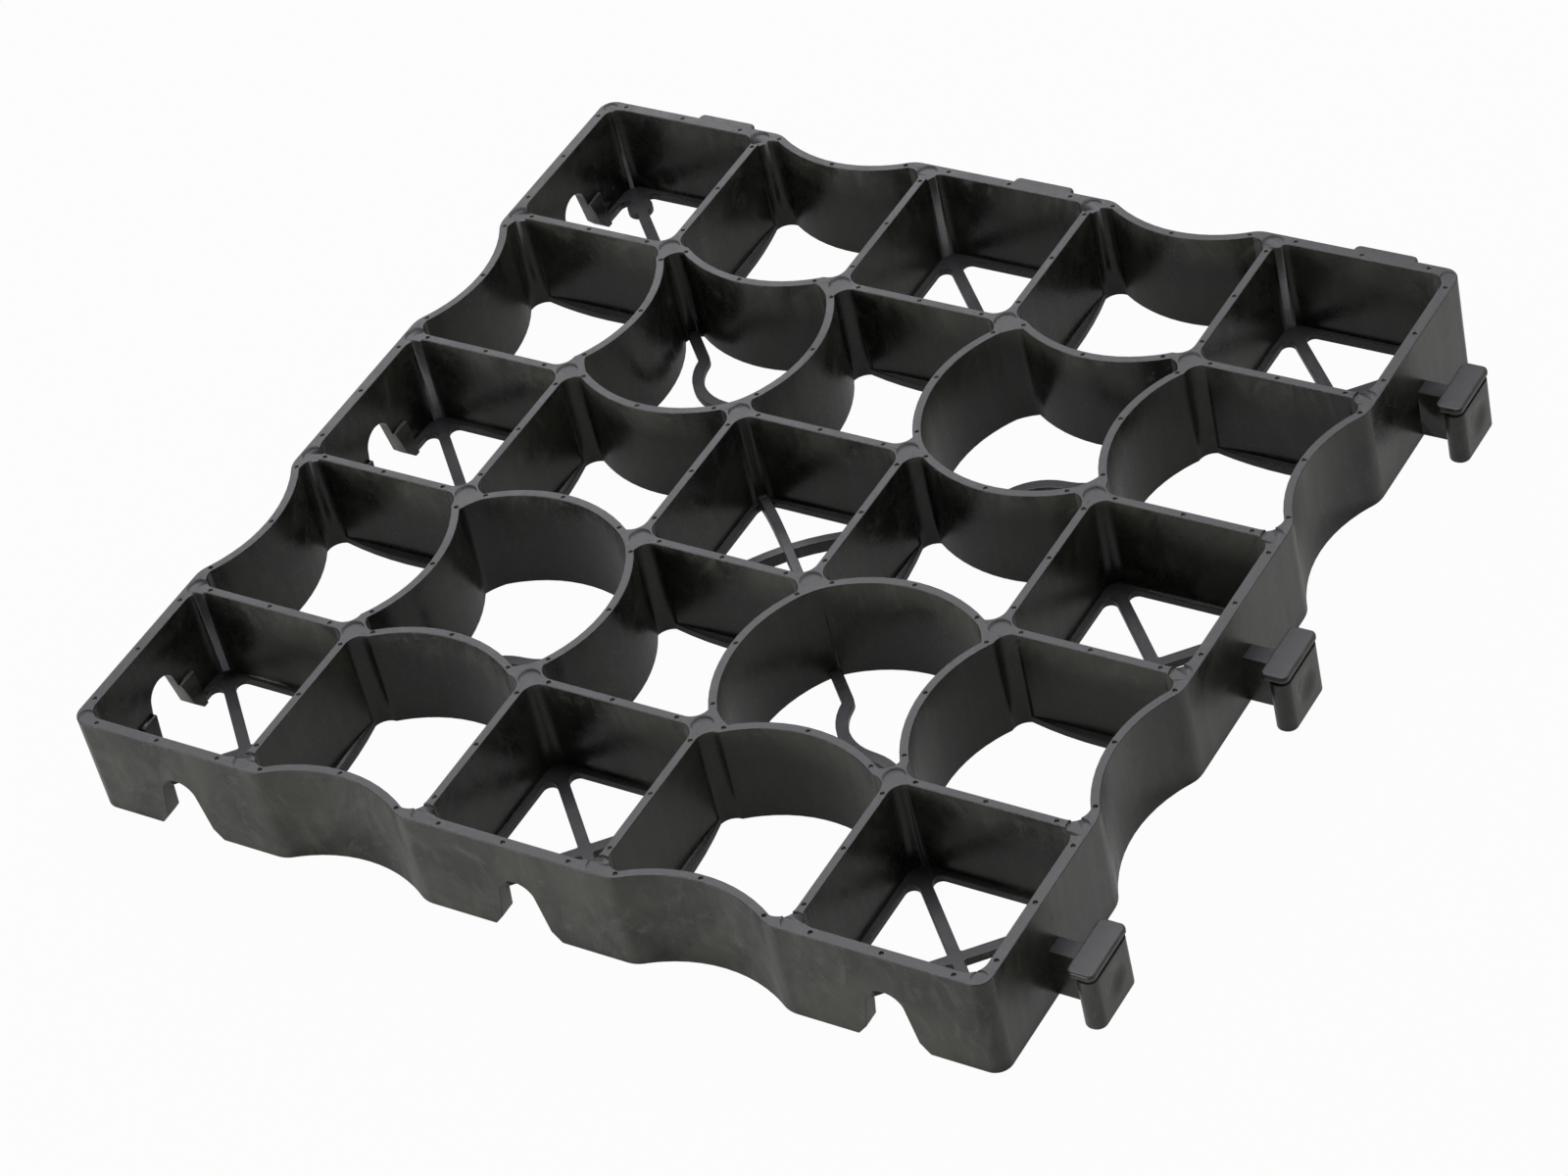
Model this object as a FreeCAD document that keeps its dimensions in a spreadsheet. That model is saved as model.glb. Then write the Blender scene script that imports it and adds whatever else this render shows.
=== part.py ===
"""Grass paver grid: one plastic tile, moulded in one piece, with open cells for soil and turf.

Lengths are millimetres. The origin is on the ground at the middle of the footprint, hooks included;
+Z is up, the coupling hooks stand out on the +X and +Y sides, and their slots are in the -X and -Y sides.
The plan repeats in each quarter turn: walls beside the middle row and column run straight, and
the walls between them are waves that all swell towards the middle of the tile.
"""
import FreeCAD
import Part
import math
import os
import Sketcher

ROOT_TWO = math.sqrt(2)
DIAGONAL = 1 / ROOT_TWO

doc = FreeCAD.newDocument("grass_paver_grid")
sheet = doc.addObject("Spreadsheet::Sheet", "sizes")


class Size:
    """A length kept twice: as a formula on the sheet's names, and as its value now."""

    def __init__(self, text, value):
        self.text = text
        self.value = value

    @staticmethod
    def of(item):
        return item if isinstance(item, Size) else Size(repr(float(item)), float(item))

    def joined(self, sign, item, value):
        return Size(f"({self.text} {sign} {Size.of(item).text})", value)

    def __add__(self, item):
        return self.joined("+", item, self.value + Size.of(item).value)

    def __sub__(self, item):
        return self.joined("-", item, self.value - Size.of(item).value)

    def __mul__(self, item):
        return self.joined("*", item, self.value * Size.of(item).value)

    def __truediv__(self, item):
        return self.joined("/", item, self.value / Size.of(item).value)

    def __neg__(self):
        return Size.of(0) - self

    def root(self):
        return Size(f"sqrt({self.text})", math.sqrt(self.value))


def written(name, content, note):
    """Put one line on the sheet and give back its alias as a Size."""
    row = written.row = written.row + 1
    sheet.set(f"A{row}", name)
    sheet.set(f"B{row}", content)
    sheet.set(f"C{row}", note)
    sheet.setAlias(f"B{row}", name)
    return f"sizes.{name}"


written.row = 0


def given(name, value, note):
    """A driving size: a plain number on the sheet."""
    return Size(written(name, repr(value), note), value)


def worked_out(name, size, note):
    """A size that follows from others: a formula on the sheet."""
    return Size(written(name, "=" + size.text.replace("sizes.", ""), note), size.value)


# Driving sizes of the grid
tile_side = given("tile_side", 333.0, "outer face to outer face, hooks apart")
tile_height = given("tile_height", 38.0, "underside to rim")
tile_corner = given("tile_corner", 5.5, "radius of the tile's upright corners")
outer_wall = given("outer_wall", 4.0, "straight outer wall")
inner_wall = given("inner_wall", 3.0, "inner walls and all waves")
square_clear = given("square_clear", 61.0, "clear side of a square cell")
square_corner = given("square_corner", 5.5, "corner radius of a square cell")
wave_corner = given("wave_corner", 5.8, "corner radius between two swelling walls")
wave_chord = given("wave_chord", 54.0, "length of a wave along its hollow face")
wave_depth = given("wave_depth", 8.4, "how far a wave swells from the straight wall")
crest_run = given("crest_run", 9.0, "side corner of a round cell along its swelling wall")
shoulder = given("shoulder", 10.0, "radius at the ends of the outer waves")

# Driving sizes of the foot
foot_height = given("foot_height", 3.0, "ledges, bars and links above the ground")
ledge = given("ledge", 2.0, "ledge round a square cell's foot")
lens_length = given("lens_length", 54.0, "lens ledge along a straight wall of a waved cell")
lens_depth = given("lens_depth", 2.8, "how far a lens ledge reaches into its cell")
bite = given("bite", 1.0, "how far a foot is sunk into the wall that carries it")
bar_width = given("bar_width", 4.0, "crossed bars of a square cell")
bar_corner = given("bar_corner", 2.6, "rounding where the bars meet the ledges")
cross_corner = given("cross_corner", 0.8, "rounding where the bars cross")
arch_height = given("arch_height", 14.2, "top of the raised cross in the middle cell")
arch_width = given("arch_width", 3.4, "raised bars, across")
arch_bar = given("arch_bar", 4.6, "raised bars, top to underside")
link_width = given("link_width", 4.0, "winding link of a round cell")
link_bend = given("link_bend", 3.4, "radius of the link's two outer bends, on its middle line")
link_loop = given("link_loop", 19.4, "radius of the link's two loops, on its middle line")
boss_radius = given("boss_radius", 4.6, "round boss on one bar")
boss_place = given("boss_place", 13.6, "boss's middle from its cell's outer corner")

# Driving sizes of the couplings
coupling_pitch = given("coupling_pitch", 129.5, "hook to hook and slot to slot")
slot_height = given("slot_height", 22.5, "crown of a slot above the ground")
slot_spring = given("slot_spring", 18.0, "where a slot's crown starts")
slot_neck = given("slot_neck", 12.4, "slot width under its crown")
slot_mouth = given("slot_mouth", 18.0, "slot width at the top of its flare")
slot_flare = given("slot_flare", 24.4, "slot width at the ground")
flare_height = given("flare_height", 4.0, "height of the flare")
lug_depth = given("lug_depth", 2.8, "lug out from the wall's inner face, on the ground")
lug_lip = given("lug_lip", 1.4, "lug out from the wall's inner face, at its top")
lug_height = given("lug_height", 14.0, "top of a lug above the ground")
lug_width = given("lug_width", 2.2, "lug beside the slot's flare")
hook_reach = given("hook_reach", 19.0, "outer face of the tile to the hook's far face")
hook_height = given("hook_height", 23.0, "top of a hook above the ground")
head_length = given("head_length", 23.0, "cap of a hook along the wall")
head_depth = given("head_depth", 9.2, "cap of a hook across")
cap_height = given("cap_height", 2.2, "cap of a hook")
cap_corner = given("cap_corner", 2.2, "corner radius of a cap")
waist_height = given("waist_height", 1.2, "set-back band under a cap")
waist_inset = given("waist_inset", 0.7, "how far the band is set back")
leg_depth = given("leg_depth", 7.2, "leg of a hook across")
leg_corner = given("leg_corner", 3.4, "corner radius of a leg")
dish_width = given("dish_width", 13.0, "round hollow in a leg's far face")
dish_depth = given("dish_depth", 1.2, "depth of that hollow")
dish_place = given("dish_place", 10.5, "middle of that hollow above the ground")
neck_width = given("neck_width", 6.6, "neck of a hook along the wall")
neck_height = given("neck_height", 18.2, "neck of a hook, top to underside")
neck_drop = given("neck_drop", 3.8, "top of the neck below the hook's top")

# Lines of the plan, as distances from the middle of the tile
half_side = worked_out("half_side", tile_side / 2, "outer face")
rim_face = worked_out("rim_face", half_side - outer_wall, "inner face of the outer wall")
far_out = worked_out("far_out", rim_face - square_clear, "far inner wall, outward face")
far_in = worked_out("far_in", far_out - inner_wall, "far inner wall, inward face")
near_in = worked_out("near_in", square_clear / 2, "near inner wall, inward face")
near_out = worked_out("near_out", near_in + inner_wall, "near inner wall, outward face")
square_mid = worked_out("square_mid", (far_out + rim_face) / 2, "middle of an outer square cell")
wave_mid = worked_out("wave_mid", (near_out + far_in) / 2, "middle of a waved cell")

# A wave is two arcs about one centre: the hollow face and, a wall away, the crest
wave_hollow = worked_out("wave_hollow", (wave_chord * wave_chord / 4 + wave_depth * wave_depth)
                         / (wave_depth * 2), "radius of a hollow face")
wave_crest = worked_out("wave_crest", wave_hollow + inner_wall, "radius of a crest")
rim_swell = worked_out("rim_swell", wave_depth + inner_wall - outer_wall, "outer wave on the inner face")
hollow_half = worked_out("hollow_half", wave_chord / 2, "half a hollow face")
crest_half = worked_out("crest_half", (wave_crest * wave_depth * 2 - wave_depth * wave_depth).root(),
                        "half a crest on an inner wall")
rim_half = worked_out("rim_half", (wave_crest * rim_swell * 2 - rim_swell * rim_swell).root(),
                      "half a crest on the outer wall")
shoulder_span = worked_out("shoulder_span", wave_hollow + shoulder, "centre of a hollow to that of its shoulder")
shoulder_half = worked_out("shoulder_half", (wave_depth * (shoulder_span * 2 - wave_depth)).root(),
                           "half an outer hollow with its shoulders")
petal_run = worked_out("petal_run", wave_mid - near_out - hollow_half, "hollow face to the cell's corner")
petal_round = worked_out("petal_round", petal_run * wave_hollow / (wave_hollow - wave_depth - hollow_half),
                         "radius that runs smoothly from one hollow face into the next")
doc.recompute()


class Workpiece:
    """A body of the tile with its origin planes, which sketches, pads, pockets and copies go into."""

    def __init__(self, name):
        self.body = doc.addObject("PartDesign::Body", name)
        self.planes = {item.Role: item for item in self.body.Origin.OriginFeatures}

    def sketch(self, name, plane, right=None, up=None, lift=None, turn=None):
        """An empty sketch on an origin plane, moved by Sizes in and off it; turn is (axis, degrees)."""
        sketch = self.body.newObject("Sketcher::SketchObject", name)
        sketch.AttachmentSupport = [(self.planes[plane], "")]
        sketch.MapMode = "FlatFace"
        if turn:
            axis, degrees = turn
            sketch.AttachmentOffset = FreeCAD.Placement(FreeCAD.Vector(), FreeCAD.Rotation(axis, degrees))
        for letter, move in (("x", right), ("y", up), ("z", lift)):
            if move is not None:
                sketch.setExpression(f"AttachmentOffset.Base.{letter}", move.text)
        return sketch

    def set_up(self, item, settings):
        """Give an object its settings; a setting that is a Size is bound to the sheet."""
        for key, value in settings.items():
            if isinstance(value, Size):
                item.setExpression(key, value.text)
            else:
                setattr(item, key, value)

    def feature(self, kind, name, sketch, **settings):
        """A pad or a pocket from a sketch."""
        item = self.body.newObject(f"PartDesign::{kind}", name)
        item.Profile = sketch
        item.Refine = False
        self.set_up(item, settings)
        return item

    def through(self, name, sketch):
        """A cut from the underside up through the rim."""
        return self.feature("Pocket", name, sketch, Type="ThroughAll", Reversed=True)

    def turned(self, count, angle, axis=None, backwards=False):
        """Copies about an upright axis: the tile's own, or that of a sketch's middle."""
        where = (axis, ["N_Axis"]) if axis else (self.planes["Z_Axis"], [""])
        apart = angle / (count if angle == 360 else count - 1)
        return "PolarPattern", {"Axis": where, "Angle": angle, "Offset": apart, "Occurrences": count,
                                "Spacings": [-1.0] * (count - 1), "Reversed": backwards}

    def mirrored(self, plane):
        """A mirror image in an origin plane."""
        return "Mirrored", {"MirrorPlane": (self.planes[plane], [""])}

    def in_a_row(self, axis, count, apart):
        """Copies in a row along an origin axis."""
        return "LinearPattern", {"Direction": (self.planes[axis], [""]), "Offset": apart,
                                 "Length": apart * (count - 1), "Occurrences": count, "Spacings2": []}

    def repeat(self, name, originals, *ways):
        """Copies of features, by one way or by several, each applied to what the way before it made."""
        whole = self.body.newObject("PartDesign::MultiTransform", name)
        whole.Originals = originals
        whole.Refine = False
        steps = []
        for index, (kind, settings) in enumerate(ways):
            step = self.body.newObject(f"PartDesign::{kind}", f"{name}_{index}")
            self.set_up(step, settings)
            steps.append(step)
        whole.Transformations = steps
        self.body.Tip = whole


def arc_between(start, end, radius, turns_left):
    """The shorter arc from start to end, its centre to the left or the right of the way."""
    chord = end - start
    across = FreeCAD.Vector(-chord.y, chord.x, 0).normalize()
    rise = math.sqrt(max(radius ** 2 - (chord.Length / 2) ** 2, 0))
    centre = (start + end) / 2 + across * (rise if turns_left else -rise)
    first, last = (start, end) if turns_left else (end, start)
    angles = [math.atan2(point.y - centre.y, point.x - centre.x) for point in (first, last)]
    circle = Part.Circle(centre, FreeCAD.Vector(0, 0, 1), radius)
    return Part.ArcOfCircle(circle, angles[0], angles[1])


def closed(sketch, start, steps):
    """A closed outline from start through steps: (x, y), or (x, y, radius, turns_left) for an arc."""
    places = [start] + [step[:2] for step in steps[:-1]]
    points = [FreeCAD.Vector(x.value, y.value, 0) for x, y in places]
    first_item = sketch.GeometryCount
    heads = []
    tails = []
    items = []
    for index, step in enumerate(steps):
        begin = points[index]
        end = points[(index + 1) % len(points)]
        if len(step) == 2:
            items.append(Part.LineSegment(begin, end))
            heads.append(1)
            tails.append(2)
        else:
            items.append(arc_between(begin, end, step[2].value, step[3]))
            heads.append(1 if step[3] else 2)
            tails.append(2 if step[3] else 1)
    sketch.addGeometry(items, False)
    bonds = []
    sizes = []
    for index, step in enumerate(steps):
        item = first_item + index
        after = (index + 1) % len(steps)
        bonds.append(Sketcher.Constraint("Coincident", item, tails[index], first_item + after, heads[after]))
        x, y = places[index]
        sizes.append((Sketcher.Constraint("DistanceX", -1, 1, item, heads[index], x.value), x))
        sizes.append((Sketcher.Constraint("DistanceY", -1, 1, item, heads[index], y.value), y))
        if len(step) > 2:
            sizes.append((Sketcher.Constraint("Radius", item, step[2].value), step[2]))
    sketch.addConstraint(bonds)
    first_size = sketch.ConstraintCount
    sketch.addConstraint([constraint for constraint, _ in sizes])
    for index, (_, size) in enumerate(sizes):
        sketch.setExpression(f"Constraints[{first_size + index}]", size.text)


def box_outline(sketch, left, right, front, back, corner):
    """A box with rounded corners."""
    start = (left + corner, front)
    closed(sketch, start, [(right - corner, front), (right, front + corner, corner, True),
                           (right, back - corner), (right - corner, back, corner, True),
                           (left + corner, back), (left, back - corner, corner, True),
                           (left, front + corner), start + (corner, True)])


def swell_outline(sketch, middle, face, half, radius, sunk):
    """A swelling of a wall along X: an arc that bulges towards -Y from a face, backed by a strip."""
    start = (middle + half, face + sunk)
    closed(sketch, start, [(middle - half, face + sunk), (middle - half, face),
                           (middle + half, face, radius, True), start])


nothing = Size.of(0)

# Walls: the slab of the tile
walls = Workpiece("walls")
four_quarters = walls.turned(4, 360)
slab_plan = walls.sketch("slab_plan", "XY_Plane")
box_outline(slab_plan, -half_side, half_side, -half_side, half_side, tile_corner)
walls.feature("Pad", "slab", slab_plan, Length=tile_height)

# Cells, first with straight walls
cells = []
for name, left, right, front, back, corner in (
        ("corner_cell", far_out, rim_face, far_out, rim_face, square_corner),
        ("edge_cell", -near_in, near_in, far_out, rim_face, square_corner),
        ("right_waved_cell", near_out, far_in, far_out, rim_face, petal_run),
        ("left_waved_cell", -far_in, -near_out, far_out, rim_face, petal_run),
        ("pinched_cell", -near_in, near_in, near_out, far_in, wave_corner)):
    cell_plan = walls.sketch(f"{name}_plan", "XY_Plane")
    box_outline(cell_plan, left, right, front, back, corner)
    cells.append(walls.through(name, cell_plan))

# Round cell: its hollow faces run smoothly into each other and into the walls that swell into it
hollow_low = near_out + petal_run
hollow_high = far_in - petal_run
crest_low = near_out + crest_run
crest_high = far_in - wave_corner
round_plan = walls.sketch("round_cell_plan", "XY_Plane")
closed(round_plan, (hollow_low, near_out),
       [(hollow_high, near_out), (far_in, crest_low, petal_round, True),
        (far_in, crest_high), (crest_high, far_in, wave_corner, True),
        (crest_low, far_in), (near_out, hollow_high, petal_round, True),
        (near_out, hollow_low), (hollow_low, near_out, petal_round, True)])
cells.append(walls.through("round_cell", round_plan))
walls.repeat("cells", cells, four_quarters)
middle_plan = walls.sketch("middle_cell_plan", "XY_Plane")
box_outline(middle_plan, -near_in, near_in, -near_in, near_in, square_corner)
walls.through("middle_cell", middle_plan)

# Waves: a crest added on each wall's inward face, then its hollow cut from the outward face
crests = []
hollows = []
for name, inward, half in (("near", near_in, crest_half), ("far", far_in, crest_half),
                           ("rim", rim_face, rim_half)):
    crest_plan = walls.sketch(f"{name}_crest_plan", "XY_Plane")
    swell_outline(crest_plan, wave_mid, inward, half, wave_crest, bite)
    crests.append(walls.feature("Pad", f"{name}_crest", crest_plan, Length=tile_height))
for name, outward in (("near", near_out), ("far", far_out)):
    hollow_plan = walls.sketch(f"{name}_hollow_plan", "XY_Plane")
    swell_outline(hollow_plan, wave_mid, outward, hollow_half, wave_hollow, bite)
    hollows.append(walls.through(f"{name}_hollow", hollow_plan))

# An outer wave's hollow is rounded over into the straight face at both ends
share = wave_hollow / shoulder_span
touch_half = shoulder_half * share
touch_line = half_side + wave_hollow - wave_depth - (shoulder_span - wave_depth) * share
back_line = half_side + bite
rim_plan = walls.sketch("rim_hollow_plan", "XY_Plane")
closed(rim_plan, (wave_mid + shoulder_half, back_line),
       [(wave_mid - shoulder_half, back_line), (wave_mid - shoulder_half, half_side),
        (wave_mid - touch_half, touch_line, shoulder, False),
        (wave_mid + touch_half, touch_line, wave_hollow, True),
        (wave_mid + shoulder_half, half_side, shoulder, False),
        (wave_mid + shoulder_half, back_line)])
hollows.append(walls.through("rim_hollow", rim_plan))
walls.repeat("waves", crests + hollows, walls.mirrored("YZ_Plane"), four_quarters)

# Feet of the cells, all standing on the ground
feet = Workpiece("feet")
four_quarters = feet.turned(4, 360)

# Foot of a square cell: a plate with four rounded triangles cut out, which leaves a ledge and crossed bars
plate_half = near_in + bite
for name, mid_x in (("corner", square_mid), ("edge", nothing)):
    plate_plan = feet.sketch(f"{name}_plate_plan", "XY_Plane", right=mid_x, up=square_mid)
    box_outline(plate_plan, -plate_half, plate_half, -plate_half, plate_half, square_corner)
    plate = feet.feature("Pad", f"{name}_plate", plate_plan, Length=foot_height)
    feet.repeat(f"{name}_plates", [plate], four_quarters)

opening = near_in - ledge
apex = bar_width * DIAGONAL
wide = opening - apex
eased = cross_corner * DIAGONAL
point = bar_corner * (1 + ROOT_TWO)
slant = point * DIAGONAL
for name, mid_x in (("corner", square_mid), ("edge", nothing)):
    triangle_plan = feet.sketch(f"{name}_triangle_plan", "XY_Plane", right=mid_x, up=square_mid)
    closed(triangle_plan, (eased, apex + eased),
           [(wide - slant, opening - slant),
            (wide - point, opening, bar_corner, True),
            (point - wide, opening),
            (slant - wide, opening - slant, bar_corner, True),
            (-eased, apex + eased),
            (eased, apex + eased, cross_corner, True)])
    triangle = feet.feature("Pocket", f"{name}_triangle", triangle_plan, Length=foot_height, Reversed=True)
    feet.repeat(f"{name}_triangles", [triangle], feet.turned(4, 360, triangle_plan), four_quarters)

# Foot of a waved cell: a lens-shaped ledge along each straight wall
lens_half = lens_length / 2
lens_round = worked_out("lens_round", (lens_half * lens_half + lens_depth * lens_depth)
                        / (lens_depth * 2), "radius of a lens ledge")


def lens(name, middle_x, middle_y, degrees):
    """A lens ledge that bulges along the turned sketch's -Y from a wall face."""
    plan = feet.sketch(f"{name}_plan", "XY_Plane", right=middle_x, up=middle_y,
                     turn=(FreeCAD.Vector(0, 0, 1), degrees))
    swell_outline(plan, nothing, nothing, lens_half, lens_round, bite)
    return feet.feature("Pad", name, plan, Length=foot_height)


side_lenses = [lens("near_lens", near_out, square_mid, 90), lens("far_lens", far_in, square_mid, -90)]
feet.repeat("side_lenses", side_lenses, feet.mirrored("YZ_Plane"), four_quarters)
cross_lenses = [lens("inner_lens", nothing, near_out, 180), lens("outer_lens", nothing, far_in, 0)]
feet.repeat("cross_lenses", cross_lenses, four_quarters)

# Foot of a round cell: a link along the cell's diagonal, with two loops that let it give.
# Half of it is drawn about the cell's middle, X towards the tile's corner, and turned over for the rest.
LEAN = math.radians(40)
sine = math.sin(LEAN)
cosine = math.cos(LEAN)
link_drop = link_bend * (1 - cosine)
loop_end = link_drop * (cosine / sine)
loop_start = loop_end + link_loop * (2 * sine)
bend_start = loop_start + link_bend * sine
link_end = (wave_mid - near_out) * ROOT_TWO
link_half = link_width / 2
across_x = link_half * sine
across_y = link_half * cosine
link_plan = feet.sketch("link_plan", "XY_Plane", right=wave_mid, up=wave_mid,
                      turn=(FreeCAD.Vector(0, 0, 1), 45))
start = (across_x - loop_end, link_drop + across_y)
closed(link_plan, start,
       [(-across_x - loop_end, link_drop - across_y),
        (loop_end - across_x, -link_drop - across_y),
        (loop_start + across_x, -link_drop - across_y, link_loop + link_half, True),
        (bend_start, -link_half, link_bend - link_half, False),
        (link_end, -link_half),
        (link_end, link_half),
        (bend_start, link_half),
        (loop_start - across_x, across_y - link_drop, link_bend + link_half, True),
        (loop_end + across_x, across_y - link_drop, link_loop - link_half, False),
        start])
link = feet.feature("Pad", "half_link", link_plan, Length=foot_height)
feet.repeat("links", [link], feet.turned(2, 180, link_plan), feet.mirrored("XZ_Plane"), feet.turned(2, 180))

# Middle cell: a ledge, and the crossed bars raised to an arch where the tile was filled
ring_plan = feet.sketch("ring_plan", "XY_Plane")
box_outline(ring_plan, -plate_half, plate_half, -plate_half, plate_half, square_corner)
box_outline(ring_plan, -opening, opening, -opening, opening, square_corner)
feet.feature("Pad", "middle_ledge", ring_plan, Length=foot_height)

arch_end = near_in * ROOT_TWO
arch_toe = arch_end - foot_height * 2
over_rise = arch_height - foot_height
under_rise = arch_height - arch_bar
arch_over = worked_out("arch_over", (arch_end * arch_end + over_rise * over_rise)
                       / (over_rise * 2), "radius over the raised cross")
arch_under = worked_out("arch_under", (arch_toe * arch_toe + under_rise * under_rise)
                        / (under_rise * 2), "radius under the raised cross")
arch_plan = feet.sketch("arch_plan", "XZ_Plane", turn=(FreeCAD.Vector(0, 1, 0), 45))
closed(arch_plan, (-arch_end, nothing),
       [(-arch_toe, nothing), (arch_toe, nothing, arch_under, False), (arch_end, nothing),
        (arch_end, foot_height), (-arch_end, foot_height, arch_over, True), (-arch_end, nothing)])
arch = feet.feature("Pad", "raised_bar", arch_plan, Length=arch_width, Midplane=True)
feet.repeat("raised_cross", [arch], feet.turned(2, 90))

# Small boss on the bar in the back left corner
boss_mid = worked_out("boss_mid", rim_face - boss_place * DIAGONAL, "boss's middle from the tile's middle")
boss_plan = feet.sketch("boss_plan", "XY_Plane", right=-boss_mid, up=boss_mid)
round_item = boss_plan.addGeometry(Part.Circle(FreeCAD.Vector(), FreeCAD.Vector(0, 0, 1), boss_radius.value))
boss_plan.addConstraint(Sketcher.Constraint("Coincident", round_item, 3, -1, 1))
bound = boss_plan.addConstraint(Sketcher.Constraint("Radius", round_item, boss_radius.value))
boss_plan.setExpression(f"Constraints[{bound}]", boss_radius.text)
feet.feature("Pad", "boss", boss_plan, Length=foot_height)

# Couplings: a wedge-shaped lug inside the wall at each slot
couplings = Workpiece("couplings")
lug_span = slot_flare + lug_width * 2
lug_tip = rim_face - lug_depth
lug_root = rim_face + bite
lug_plan = couplings.sketch("lug_plan", "YZ_Plane", lift=-coupling_pitch)
closed(lug_plan, (-lug_root, nothing),
       [(-lug_tip, nothing), (lug_lip - rim_face, lug_height), (-lug_root, lug_height), (-lug_root, nothing)])
lug = couplings.feature("Pad", "lug", lug_plan, Length=lug_span, Midplane=True)
couplings.repeat("lugs", [lug], couplings.in_a_row("X_Axis", 3, coupling_pitch),
                 couplings.turned(2, 90, backwards=True))

# Hooks: a neck from the wall, a leg that stands on the ground and a cap with a set-back band
far_face = worked_out("far_face", half_side + hook_reach, "far face of the hooks")
head_in = far_face - head_depth
leg_in = far_face - leg_depth
cap_base = hook_height - cap_height
leg_top = cap_base - waist_height
neck_top = hook_height - neck_drop
neck_foot = neck_top - neck_height
cap_half = head_length / 2
waist_in = leg_in + waist_inset
waist_out = far_face - waist_inset
waist_half = cap_half - waist_inset
waist_corner = leg_corner - waist_inset
neck_across = neck_width / 2
hook = []
for name, foot, left, right, half, corner, height in (
        ("leg", nothing, leg_in, far_face, cap_half, leg_corner, leg_top),
        ("waist", leg_top, waist_in, waist_out, waist_half, waist_corner, waist_height),
        ("cap", cap_base, head_in, far_face, cap_half, cap_corner, cap_height)):
    hook_plan = couplings.sketch(f"{name}_plan", "XY_Plane", up=-coupling_pitch, lift=foot)
    box_outline(hook_plan, left, right, -half, half, corner)
    hook.append(couplings.feature("Pad", name, hook_plan, Length=height))
neck_plan = couplings.sketch("neck_plan", "XY_Plane", up=-coupling_pitch, lift=neck_foot)
neck_start = half_side - bite
neck_stop = leg_in + bite
closed(neck_plan, (neck_start, -neck_across),
       [(neck_stop, -neck_across), (neck_stop, neck_across), (neck_start, neck_across),
        (neck_start, -neck_across)])
hook.append(couplings.feature("Pad", "neck", neck_plan, Length=neck_height))
dish_half = dish_width / 2
dish_round = worked_out("dish_round", (dish_half * dish_half + dish_depth * dish_depth)
                        / (dish_depth * 2), "radius of the hollow in a leg")
dish_cut = dish_depth + bite
dish_rim = worked_out("dish_rim", (dish_cut * (dish_round * 2 - dish_cut)).root(), "half the cut's width")
dish_plan = couplings.sketch("dish_plan", "XY_Plane", right=far_face, up=-coupling_pitch, lift=dish_place)
closed(dish_plan, (-dish_depth, nothing),
       [(bite, nothing), (bite, dish_rim), (-dish_depth, nothing, dish_round, True)])
hook.append(couplings.feature("Groove", "dish", dish_plan, ReferenceAxis=(dish_plan, ["H_Axis"]), Angle=360))
couplings.repeat("hooks", hook, couplings.in_a_row("Y_Axis", 3, coupling_pitch), couplings.turned(2, 90))

# Slots: one flared shape that goes through lug, ledge and wall
slots = Workpiece("slots")
crown_rise = slot_height - slot_spring
neck_half = slot_neck / 2
crown_round = worked_out("crown_round", (neck_half * neck_half + crown_rise * crown_rise)
                         / (crown_rise * 2), "radius of a slot's crown")
mouth_half = slot_mouth / 2
flare_half = slot_flare / 2
slot_plan = slots.sketch("slot_plan", "XZ_Plane", right=-coupling_pitch, lift=half_side + bite)
closed(slot_plan, (-flare_half, -bite),
       [(flare_half, -bite), (flare_half, nothing), (mouth_half, flare_height), (neck_half, slot_spring),
        (-neck_half, slot_spring, crown_round, True), (-mouth_half, flare_height), (-flare_half, nothing),
        (-flare_half, -bite)])
slot = slots.feature("Pad", "slot", slot_plan, Reversed=True, Length=outer_wall + lug_depth + bite * 2)
slots.repeat("slot_copies", [slot], slots.in_a_row("X_Axis", 3, coupling_pitch),
             slots.turned(2, 90, backwards=True))

# The tile: walls, feet and couplings as one, with the slots cut; its origin goes to the middle of the
# footprint, hooks included
moulding = doc.addObject("Part::MultiFuse", "moulding")
moulding.Shapes = [walls.body, feet.body, couplings.body]
moulding.Refine = False
tile = doc.addObject("Part::Cut", "tile")
tile.Label = "paver_grid"
tile.Base = moulding
tile.Tool = slots.body
tile.Refine = True
for letter in "xy":
    tile.setExpression(f"Placement.Base.{letter}", f"-{hook_reach.text} / 2")

doc.recompute()
faults = [item.Label for item in doc.Objects if {"Invalid", "Error"} & set(item.State)]
if faults:
    raise RuntimeError("not built: " + ", ".join(faults))
shape = tile.Shape
if shape.isNull() or not shape.isValid() or len(shape.Solids) != 1:
    raise RuntimeError(f"{tile.Label}: not one sound solid")
os.makedirs("parts", exist_ok=True)
shape.exportStep(f"parts/{tile.Label}.step")
box = shape.BoundBox
print(f"{tile.Label}: {shape.Volume / 1000:.1f} cm3, {len(shape.Faces)} faces, "
      f"{box.XLength:.1f} x {box.YLength:.1f} x {box.ZLength:.1f} mm, "
      f"from {box.XMin:.2f} {box.YMin:.2f} {box.ZMin:.2f}")
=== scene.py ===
# %% [markdown]
# # A grass paver grid
# The real thing is one square plastic tile, moulded in one shot: upright walls round open cells, thin ledges
# and crossed bars at the foot, hooks on two sides and slots on the other two. The CAD part already has all of
# those shapes. What a solid model lacks is what the mould and the warehouse leave behind: eased edges, the
# round marks of the pins that push the tile out, small pits along the rim, and a cloudy black skin.
# This lesson starts from the CAD mesh and adds those, one cell at a time. Lengths are metres.

# %% Load the CAD part
import math

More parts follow.
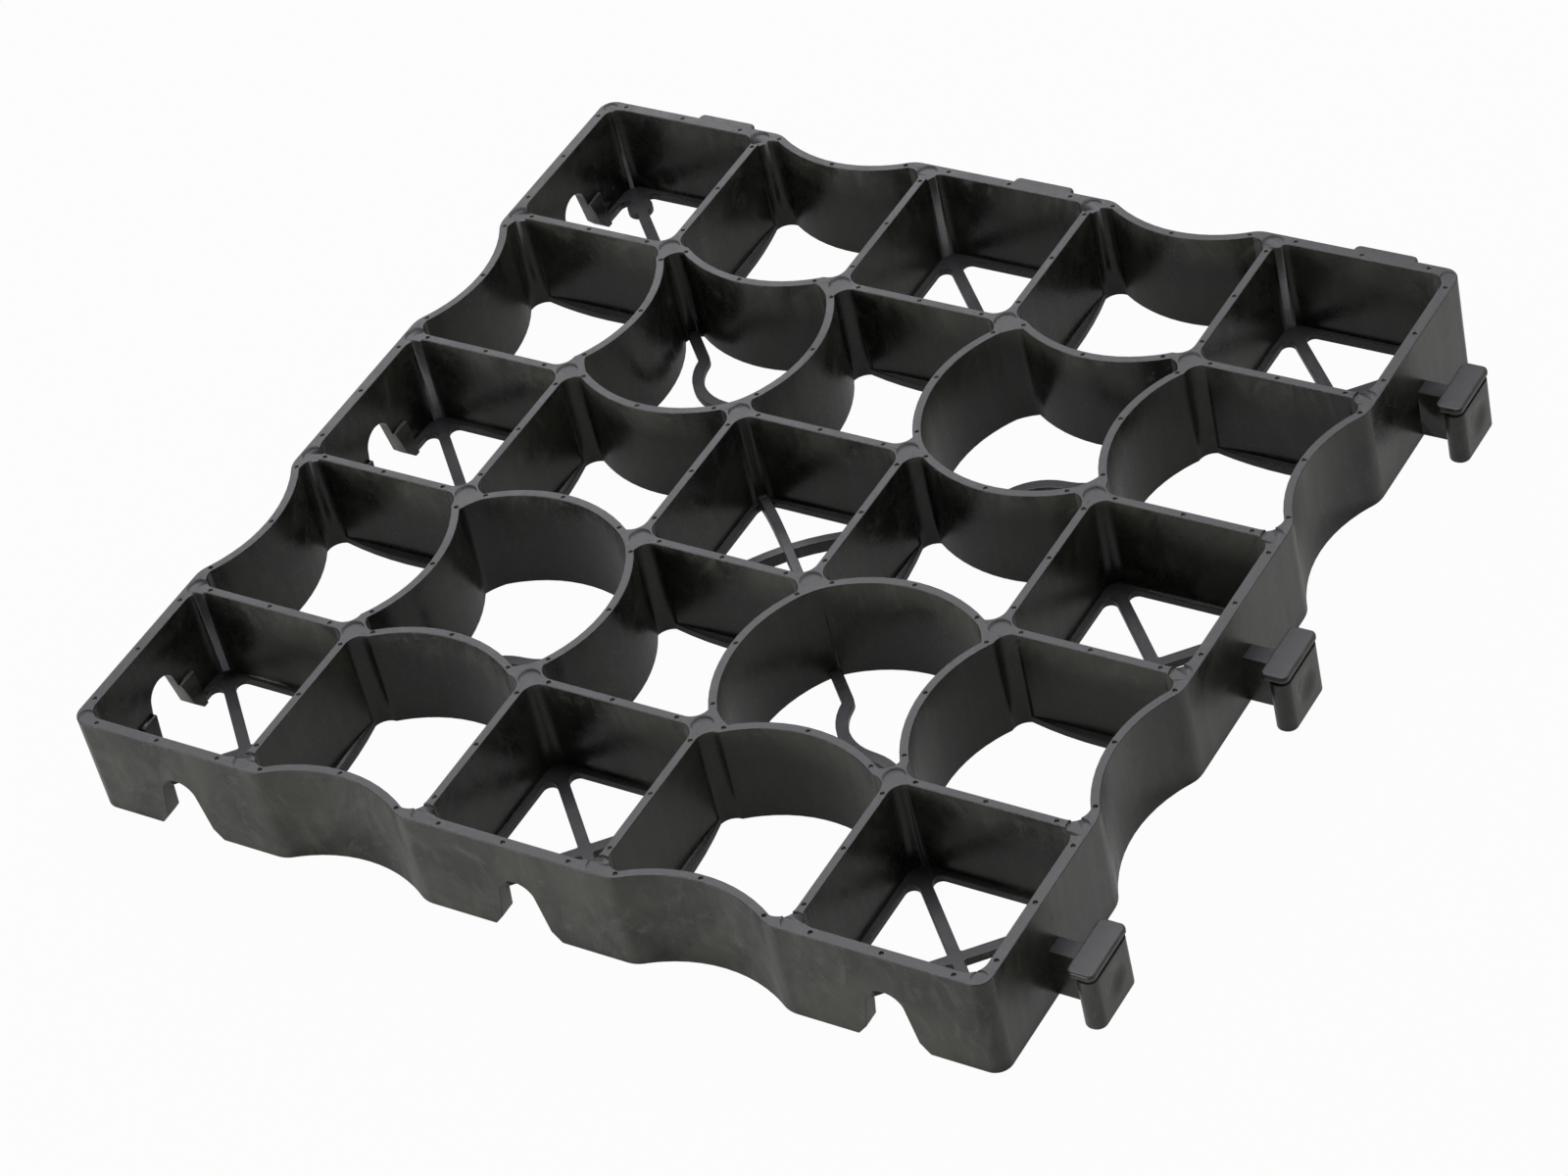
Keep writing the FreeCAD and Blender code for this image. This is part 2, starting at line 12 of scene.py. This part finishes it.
import bmesh
import bpy
from mathutils import Matrix, Vector


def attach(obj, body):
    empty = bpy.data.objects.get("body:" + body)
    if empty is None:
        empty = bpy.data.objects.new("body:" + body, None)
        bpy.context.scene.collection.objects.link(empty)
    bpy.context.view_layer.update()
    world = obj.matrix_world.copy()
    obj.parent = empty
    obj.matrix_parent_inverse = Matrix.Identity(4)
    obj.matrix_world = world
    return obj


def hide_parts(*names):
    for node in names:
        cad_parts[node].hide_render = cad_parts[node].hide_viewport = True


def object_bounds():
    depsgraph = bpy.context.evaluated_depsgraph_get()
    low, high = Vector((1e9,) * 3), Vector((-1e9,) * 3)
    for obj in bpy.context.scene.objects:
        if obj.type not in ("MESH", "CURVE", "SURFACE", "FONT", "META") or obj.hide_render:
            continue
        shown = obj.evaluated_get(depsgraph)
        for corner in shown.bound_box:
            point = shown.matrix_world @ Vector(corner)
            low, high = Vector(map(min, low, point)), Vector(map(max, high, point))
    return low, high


MM = 0.001
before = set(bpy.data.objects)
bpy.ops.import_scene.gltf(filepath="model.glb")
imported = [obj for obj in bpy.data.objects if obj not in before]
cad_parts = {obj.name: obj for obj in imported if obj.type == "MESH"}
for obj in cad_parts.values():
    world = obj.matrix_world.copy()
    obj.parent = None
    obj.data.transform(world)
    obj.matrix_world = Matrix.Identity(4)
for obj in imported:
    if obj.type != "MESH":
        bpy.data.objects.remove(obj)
cad_box = [list(corner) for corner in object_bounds()]
low, high = (Vector(corner) for corner in cad_box)
scene = bpy.context.scene
print("CAD box in mm:", [round(value / MM, 2) for value in (*low, *high)])

# %% [markdown]
# ## Nodes written as plain Python
# A node tree is easier to read as a formula than as a heap of boxes. A *wire* is one output of a node, and
# the usual signs on wires add Math nodes. A *board* is the tree itself: its one method adds any other node
# from its type, its settings, and the values or wires for its sockets. The same two classes serve for
# materials and for geometry.


# %% Wires and boards
class Wire:
    """One output socket; + - * / on wires and numbers add Math nodes."""

    def __init__(self, board, socket):
        self.board = board
        self.socket = socket

    def math(self, operation, first, second=0.0):
        return self.board.node("ShaderNodeMath", {"operation": operation}, {0: first, 1: second})

    def __add__(self, other):
        return self.math("ADD", self, other)

    def __radd__(self, other):
        return self.math("ADD", other, self)

    def __sub__(self, other):
        return self.math("SUBTRACT", self, other)

    def __rsub__(self, other):
        return self.math("SUBTRACT", other, self)

    def __mul__(self, other):
        return self.math("MULTIPLY", self, other)

    def __rmul__(self, other):
        return self.math("MULTIPLY", other, self)

    def __truediv__(self, other):
        return self.math("DIVIDE", self, other)

    def most(self, other):
        return self.math("MAXIMUM", self, other)

    def size(self):
        return self.math("ABSOLUTE", self)


class Board:
    """A node tree that is filled by calls."""

    def __init__(self, tree):
        self.tree = tree

    def node(self, kind, settings=None, plugs=None, outlet=0):
        """Add a node: its settings first, then a value or a wire for each named socket; gives one outlet."""
        made = self.tree.nodes.new(kind)
        for key, value in (settings or {}).items():
            setattr(made, key, value)
        for key, value in (plugs or {}).items():
            if isinstance(value, Wire):
                self.tree.links.new(value.socket, made.inputs[key])
            else:
                made.inputs[key].default_value = value
        return Wire(self, made.outputs[outlet]) if made.outputs else made

    def band(self, value, start, end):
        """0 below start, 1 above end, smooth between."""
        return self.node("ShaderNodeMapRange", {"interpolation_type": "SMOOTHSTEP", "clamp": True},
                         {"Value": value, "From Min": start, "From Max": end})

    def mixed(self, share, first, second):
        """A colour between two, by a share from 0 to 1; its sockets share names, so they are numbered."""
        return self.node("ShaderNodeMix", {"data_type": "RGBA"}, {0: share, 6: first, 7: second}, 2)


def grey(level, warm=0.0):
    """A near-grey colour; warm above 0 leans to olive."""
    return (level * (1 + warm), level * (1 + warm * 0.9), level * (1 - warm), 1.0)


# %% [markdown]
# ## The plastic
# The tile is black recycled plastic. It is not one flat black: the melt leaves cloudy patches that lean to
# olive, upright streaks where it ran down the walls, and a few pale specks. Faces that look up get painted
# top light, a lighter and cooler grey where the lamp above falls, and are also rougher, so the surface's own
# direction picks them out. All else is noise on Object coordinates, which stay put on the tile, and only
# colour, roughness and a bump change.

# %% Black recycled plastic
plastic = bpy.data.materials.new("grid_plastic")
plastic.use_nodes = True
board = Board(plastic.node_tree)
skin = plastic.node_tree.nodes["Principled BSDF"]
place = board.node("ShaderNodeTexCoord", outlet="Object")


def noise(scale, detail=3.0, rough=0.55, stretch=(1, 1, 1), turn=0.0, twist=0.0):
    """Noise on the tile's own coordinates, scale in patches per metre; stretch thins it along an axis."""
    where = board.node("ShaderNodeMapping", None,
                       {"Vector": place, "Scale": stretch, "Rotation": (0, 0, turn)})
    return board.node("ShaderNodeTexNoise", None, {"Vector": where, "Scale": scale, "Detail": detail,
                                                   "Roughness": rough, "Distortion": twist})


clouds = board.band(noise(22, 5, 0.64, (1, 1, 0.75), twist=1.1), 0.36, 0.66)
smears = board.band(noise(44, 6, 0.72, (1, 1, 0.8), 0.6, 2.6), 0.50, 0.78)
blots = board.band(noise(95, 4, 0.66, (1, 1, 0.6), 1.1, 1.4), 0.47, 0.72)
streaks = board.band(noise(240, 3, 0.6, (1, 1, 0.07)), 0.42, 0.74)
grain = noise(2400, 2, 0.5)
mottle = noise(420, 3, 0.6)
specks = board.band(noise(640, 2, 0.5, twist=0.8), 0.755, 0.79)
facing = board.node("ShaderNodeTexCoord", outlet="Normal")
upright = board.node("ShaderNodeSeparateXYZ", None, {"Vector": facing}, "Z")
# Up-facing faces: a mask for the painted top light and for a rougher finish
lit_tops = board.band(upright, 0.60, 0.95)

PLASTIC_IOR = 1.49
BUMP_STRENGTH = 0.30
BUMP_HEIGHT = 0.12 * MM
DEEP = grey(0.0120, 0.04)
CLOUDY = grey(0.0460, 0.14)
CHALK = grey(0.1080, 0.07)
PALE = grey(0.2600, 0.10)
PAINTED_TOP_LIGHT = (0.0820, 0.0800, 0.0950, 1.0)
colour = board.mixed(clouds, DEEP, CLOUDY)
colour = board.mixed(smears * 0.70 + blots * 0.30 + streaks * 0.08, colour, CHALK)
# Painted top light: up-facing faces are mixed towards a lighter, cooler grey, where the lamp above falls
colour = board.mixed(lit_tops * (0.45 + mottle * 0.6), colour, PAINTED_TOP_LIGHT)
colour = board.mixed(specks * 0.4, colour, PALE)
gloss = 0.25 + clouds * 0.10 + smears * 0.16 + lit_tops * 0.12 - streaks * 0.05
relief = grain * 0.35 + mottle * 0.8 + streaks * 0.25 + smears * 0.3 + blots * 0.3
bump = board.node("ShaderNodeBump", None,
                  {"Height": relief, "Strength": BUMP_STRENGTH, "Distance": BUMP_HEIGHT})
for name, wire in (("Base Color", colour), ("Roughness", gloss), ("Normal", bump)):
    plastic.node_tree.links.new(wire.socket, skin.inputs[name])
skin.inputs["IOR"].default_value = PLASTIC_IOR
print("plastic:", len(plastic.node_tree.nodes), "nodes")

# %% [markdown]
# ## Eased edges
# No moulded edge is knife-sharp: the rim is eased by a third of a millimetre, and the caps of the hooks are
# plainly rounded. A bevel needs clean faces, so a copy of the CAD mesh has its loose triangles merged and its
# flat faces joined first. The hooks' caps get their wide rounding before the rest gets the narrow one.

# %% Copy the CAD mesh and ease its edges
SHARP = math.radians(35)
FLAT = math.radians(0.4)
SAME_POINT = 0.01 * MM
SAME_HEIGHT = 0.05 * MM
SPECK = 0.002 * MM
CAP_EASE = 0.9 * MM
CAP_STEPS = 3
EDGE_EASE = 0.32 * MM
EDGE_STEPS = 2
HOOK_TOP = 23.0 * MM
TILE_MIDDLE = Vector((-9.5, -9.5, 0.0)) * MM

shell = bmesh.new()
shell.from_mesh(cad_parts["paver_grid"].data)
bmesh.ops.remove_doubles(shell, verts=shell.verts, dist=SAME_POINT)
bmesh.ops.dissolve_limit(shell, angle_limit=FLAT, verts=shell.verts, edges=shell.edges)


def sharp_edges(chosen):
    return [edge for edge in shell.edges
            if edge.is_convex and edge.calc_face_angle(0.0) > SHARP and chosen(edge)]


def on_cap_top(edge):
    return all(abs(vert.co.z - HOOK_TOP) < SAME_HEIGHT for vert in edge.verts)


def ease(edges, width, steps):
    bmesh.ops.bevel(shell, geom=edges, offset=width, offset_type="OFFSET", segments=steps, profile=0.5,
                    affect="EDGES", clamp_overlap=False, loop_slide=True)
    return len(edges)


print("cap edges eased:", ease(sharp_edges(on_cap_top), CAP_EASE, CAP_STEPS))
print("other edges eased:", ease(sharp_edges(lambda edge: True), EDGE_EASE, EDGE_STEPS))
bmesh.ops.dissolve_degenerate(shell, edges=shell.edges, dist=SPECK)
grid_mesh = bpy.data.meshes.new("paver_grid_shell")
shell.to_mesh(grid_mesh)
shell.free()
grid_mesh.materials.clear()
grid_mesh.materials.append(plastic)
grid = bpy.data.objects.new("paver_grid_shell", grid_mesh)
scene.collection.objects.link(grid)
print("shell:", len(grid_mesh.vertices), "points,", len(grid_mesh.polygons), "faces")

# %% [markdown]
# ## Marks on the rim
# Where walls cross, a round ejector pin has left a shallow disc, and every wall has three small pits along
# its rim: one at the middle and one near each end. Both repeat over the whole plan, so Geometry Nodes place
# them: the discs on points at the crossings, the pits along lines that follow the walls. The results are not
# shown; they are tools, cut out of the shell.

# %% Lines of the plan
LINES = (-164.5, -100.0, -32.0, 32.0, 100.0, 164.5)
OUTER = (0, 5)
BETWEEN_WAVES = (1, 3)
WAVE_MIDDLE = 66.0
WAVE_RADIUS = 49.1
WAVE_DEPTH = 8.4
OUTER_DEPTH = 7.9
STEPS = 16


def wall_line(line, gap):
    """Points along one wall as (along, across), which bow towards the middle of the tile on waved walls."""
    start, end = LINES[gap], LINES[gap + 1]
    base = LINES[line]
    depth = OUTER_DEPTH if line in OUTER else WAVE_DEPTH
    middle = math.copysign(WAVE_MIDDLE, start + end)
    points = []
    for index in range(STEPS + 1):
        along = start + (end - start) * index / STEPS
        bow = 0.0
        if gap in BETWEEN_WAVES:
            bow = depth - WAVE_RADIUS + math.sqrt(WAVE_RADIUS ** 2 - (along - middle) ** 2)
        points.append((along, base - math.copysign(max(bow, 0.0), base)))
    return points


def plan_point(x, y):
    return Vector((x, y, 0.0)) * MM + TILE_MIDDLE + Vector((0, 0, high.z))


wall_curve = bpy.data.curves.new("rim_lines", "CURVE")
wall_curve.dimensions = "3D"
for line in range(len(LINES)):
    for gap in range(len(LINES) - 1):
        points = wall_line(line, gap)
        for way in (points, [(across, along) for along, across in reversed(points)]):
            spline = wall_curve.splines.new("POLY")
            spline.points.add(len(way) - 1)
            for point, (x, y) in zip(spline.points, way):
                point.co = (*plan_point(x, y), 1.0)
rim_lines = bpy.data.objects.new("rim_lines", wall_curve)

OUTER_PIN = 162.2
CORNER_PIN = 162.7
CORNER_SHARE = 0.68
pin_spots = []
pin_shares = []
for row in range(len(LINES)):
    for column in range(len(LINES)):
        outer = OUTER_PIN if (row in OUTER) != (column in OUTER) else CORNER_PIN
        spot = [math.copysign(min(abs(LINES[index]), outer), LINES[index]) for index in (column, row)]
        pin_spots.append(plan_point(*spot))
        pin_shares.append(CORNER_SHARE if row in OUTER and column in OUTER else 1.0)
crossing_mesh = bpy.data.meshes.new("crossings")
crossing_mesh.from_pydata(pin_spots, [], [])
crossing_mesh.attributes.new("share", "FLOAT", "POINT").data.foreach_set("value", pin_shares)
crossings = bpy.data.objects.new("crossings", crossing_mesh)
for item in (rim_lines, crossings):
    scene.collection.objects.link(item)
print(len(wall_curve.splines), "walls,", len(crossing_mesh.vertices), "crossings")


# %% Trees that place the tools
def geometry_board(name, sizes):
    """An empty geometry tree with a geometry input and one number input for each size."""
    tree = bpy.data.node_groups.new(name, "GeometryNodeTree")
    tree.interface.new_socket("Geometry", in_out="INPUT", socket_type="NodeSocketGeometry")
    for size in sizes:
        tree.interface.new_socket(size, in_out="INPUT", socket_type="NodeSocketFloat")
    tree.interface.new_socket("Geometry", in_out="OUTPUT", socket_type="NodeSocketGeometry")
    made = Board(tree)
    made.given = tree.nodes.new("NodeGroupInput")
    return made


def given(made, name):
    return Wire(made, made.given.outputs[name])


def placed(made, points, tool, share=(1, 1, 1)):
    """The tool at each point, at a share of its size, made real, in the tile's plastic."""
    copies = made.node("GeometryNodeInstanceOnPoints", None,
                       {"Points": points, "Instance": tool, "Scale": share})
    real = made.node("GeometryNodeRealizeInstances", None, {0: copies})
    done = made.node("GeometryNodeSetMaterial", None, {"Geometry": real, "Material": plastic})
    made.node("NodeGroupOutput", None, {0: done})
    return made.tree


def evaluated_mesh(owner):
    """A plain mesh of what the object's modifiers make of it."""
    depsgraph = bpy.context.evaluated_depsgraph_get()
    return bpy.data.meshes.new_from_object(owner.evaluated_get(depsgraph))


def plain_mesh(owner, tree, sizes):
    """Run a tree on an object with these sizes and give back a plain mesh object in its place."""
    modifier = owner.modifiers.new(tree.name, "NODES")
    modifier.node_group = tree
    for item in tree.interface.items_tree:
        if item.in_out == "INPUT" and item.name in sizes:
            modifier[item.identifier] = sizes[item.name]
    owner.update_tag()
    mesh = evaluated_mesh(owner)
    bpy.data.objects.remove(owner)
    made = bpy.data.objects.new(tree.name, mesh)
    scene.collection.objects.link(made)
    print(tree.name, "faces:", len(mesh.polygons))
    return made


PITS_PER_WALL = 3
PIT_FIRST = 7.4 * MM
PIT_LAST = 9.2 * MM
PIT_RADIUS = 0.85 * MM
PIN_RADIUS = 3.8 * MM
PIN_DEPTH = 0.8 * MM
PIN_SIDES = 32
TRIM_START, TRIM_END = 4, 5

pits_board = geometry_board("rim_pits", ("First", "Last", "Radius"))
lines = given(pits_board, "Geometry")
length = pits_board.node("GeometryNodeSplineLength")
trimmed = pits_board.node("GeometryNodeTrimCurve", {"mode": "LENGTH"},
                          {"Curve": lines, TRIM_START: given(pits_board, "First"),
                           TRIM_END: length - given(pits_board, "Last")})
spaced = pits_board.node("GeometryNodeResampleCurve", None, {"Curve": trimmed, "Count": PITS_PER_WALL})
ball = pits_board.node("GeometryNodeMeshUVSphere", None,
                       {"Segments": 10, "Rings": 6, "Radius": given(pits_board, "Radius")})
pits = plain_mesh(rim_lines, placed(pits_board, spaced, ball),
                  {"First": PIT_FIRST, "Last": PIT_LAST, "Radius": PIT_RADIUS})

pins_board = geometry_board("pin_discs", ("Radius", "Depth"))
disc = pins_board.node("GeometryNodeMeshCylinder", None,
                       {"Vertices": PIN_SIDES, "Radius": given(pins_board, "Radius"),
                        "Depth": given(pins_board, "Depth") * 2})
share = pins_board.node("GeometryNodeInputNamedAttribute", {"data_type": "FLOAT"}, {"Name": "share"})
pins = plain_mesh(crossings, placed(pins_board, given(pins_board, "Geometry"), disc, share),
                  {"Radius": PIN_RADIUS, "Depth": PIN_DEPTH})

# %% Cut the marks out of the shell
for tool in (pits, pins):
    cut = grid.modifiers.new(tool.name, "BOOLEAN")
    cut.operation = "DIFFERENCE"
    cut.solver = "MANIFOLD"
    cut.object = tool
finished = evaluated_mesh(grid)
grid.modifiers.clear()
grid.data = finished
for tool in (pits, pins):
    bpy.data.objects.remove(tool)
print("cut shell:", len(finished.vertices), "points,", len(finished.polygons), "faces")

# %% [markdown]
# ## Smooth walls, flat faces
# Curved walls should shade smoothly while flat faces stay flat. Edges sharper than a limit are kept sharp,
# and the Weighted Normal modifier lets the large faces decide how the narrow eased edges shade.

# %% Shade the shell
SMOOTH_LIMIT = math.radians(50)
LARGE_FACE_WEIGHT = 80

for polygon in finished.polygons:
    polygon.use_smooth = True
finished.set_sharp_from_angle(angle=SMOOTH_LIMIT)
weighted = grid.modifiers.new("weighted", "WEIGHTED_NORMAL")
weighted.keep_sharp = True
weighted.weight = LARGE_FACE_WEIGHT
shaded = evaluated_mesh(grid)
grid.modifiers.clear()
grid.data = shaded
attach(grid, "root")
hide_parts("paver_grid")

# %% [markdown]
# ## Floor, light and camera
# The setting is a product shot on white: a large soft light above, weaker ones from the back, and a long low
# one from the front left. Camera rays see the floor as white with a little of the painted floor mixed in, so
# that the tile keeps its shadow. Mirror rays see a dimmer floor, brighter round the tile than under it, where
# the walls keep the light off.

# %% White floor
FLOOR_PALE = (0.30, 0.30, 0.30, 1.0)
GLOW = 0.97
SHEEN_UNDER = 0.30
SHEEN_ROUND = 0.54
TILE_HALF = 166.5 * MM
SHEEN_FROM = TILE_HALF - 2 * MM
SHEEN_TO = TILE_HALF + 4 * MM
FLOOR_REACH = 6.0
floor_mesh = bpy.data.meshes.new("floor")
floor_corners = [(x * FLOOR_REACH, y * FLOOR_REACH, 0) for x, y in ((-1, -1), (1, -1), (1, 1), (-1, 1))]
floor_mesh.from_pydata(floor_corners, [], [(0, 1, 2, 3)])
floor = bpy.data.objects.new("floor", floor_mesh)
scene.collection.objects.link(floor)
floor_paint = bpy.data.materials.new("floor_white")
floor_paint.use_nodes = True
floor_board = Board(floor_paint.node_tree)
floor_paint.node_tree.nodes.clear()
seen = floor_board.node("ShaderNodeLightPath", outlet="Is Camera Ray")
mirrored = floor_board.node("ShaderNodeLightPath", outlet="Is Glossy Ray")
paint = floor_board.node("ShaderNodeBsdfDiffuse", None, {"Color": FLOOR_PALE})
light = floor_board.node("ShaderNodeEmission", None, {"Color": (1, 1, 1, 1), "Strength": 1.0})
spot = floor_board.node("ShaderNodeTexCoord", outlet="Object")
from_middle = [(floor_board.node("ShaderNodeSeparateXYZ", None, {"Vector": spot}, axis) - middle).size()
               for axis, middle in (("X", TILE_MIDDLE.x), ("Y", TILE_MIDDLE.y))]
outside = floor_board.band(from_middle[0].most(from_middle[1]), SHEEN_FROM, SHEEN_TO)
sheen = SHEEN_UNDER + outside * (SHEEN_ROUND - SHEEN_UNDER)
glow = (seen * GLOW).most(mirrored * sheen)
blend = floor_board.node("ShaderNodeMixShader", None, {0: glow, 1: paint, 2: light})
floor_board.node("ShaderNodeOutputMaterial", None, {"Surface": blend})
floor_mesh.materials.append(floor_paint)

# %% Soft studio light
SKY_DIM = 0.09
SKY_SEEN = 0.91
SKY_MIRRORED = 0.06
SOFTBOXES = (
    ("softbox_top", (-0.1, 0.4, 1.7), 1.4, 1.0, 20),
    ("softbox_back_left", (-1.3, 1.4, 1.2), 1.2, 0.9, 10),
    ("softbox_back_right", (1.5, 1.1, 0.7), 0.8, 0.6, 2.5),
    ("softbox_front_left", (-0.8, -1.9, 0.30), 1.5, 0.4, 22),
)

world = bpy.data.worlds.new("studio")
scene.world = world
world.use_nodes = True
sky_board = Board(world.node_tree)
world.node_tree.nodes.clear()
sky_seen = sky_board.node("ShaderNodeLightPath", outlet="Is Camera Ray")
sky_mirrored = sky_board.node("ShaderNodeLightPath", outlet="Is Glossy Ray")
sky_strength = SKY_DIM + sky_seen * SKY_SEEN + sky_mirrored * SKY_MIRRORED
sky = sky_board.node("ShaderNodeBackground", None, {"Color": (1.0, 1.0, 1.0, 1.0), "Strength": sky_strength})
sky_board.node("ShaderNodeOutputWorld", None, {"Surface": sky})


def softbox(name, spot, width, depth, power):
    """A rectangular soft light that faces the tile, power in watts."""
    lamp = bpy.data.lights.new(name, "AREA")
    lamp.shape = "RECTANGLE"
    lamp.size = width
    lamp.size_y = depth
    lamp.energy = power
    holder = bpy.data.objects.new(name, lamp)
    holder.location = spot
    holder.rotation_euler = (-Vector(spot)).to_track_quat("-Z", "Y").to_euler()
    scene.collection.objects.link(holder)


for settings in SOFTBOXES:
    softbox(*settings)

# %% Camera of the photograph
AZIMUTH = math.radians(39.51)
ELEVATION = math.radians(41.32)
ROLL = math.radians(-14.32)
CAMERA_SPOT = (0.7289, -0.9119, 1.0227)
SENSOR_WIDTH = 36.0
FOCAL_LENGTH = 109.22
camera_data = bpy.data.cameras.new("camera")
camera_data.sensor_width = SENSOR_WIDTH
camera_data.lens = FOCAL_LENGTH
camera = bpy.data.objects.new("camera", camera_data)
turn = (Matrix.Rotation(AZIMUTH, 4, "Z") @ Matrix.Rotation(math.pi / 2 - ELEVATION, 4, "X")
        @ Matrix.Rotation(ROLL, 4, "Z"))
camera.matrix_world = Matrix.Translation(CAMERA_SPOT) @ turn
scene.collection.objects.link(camera)
scene.camera = camera
scene.view_settings.view_transform = "Standard"
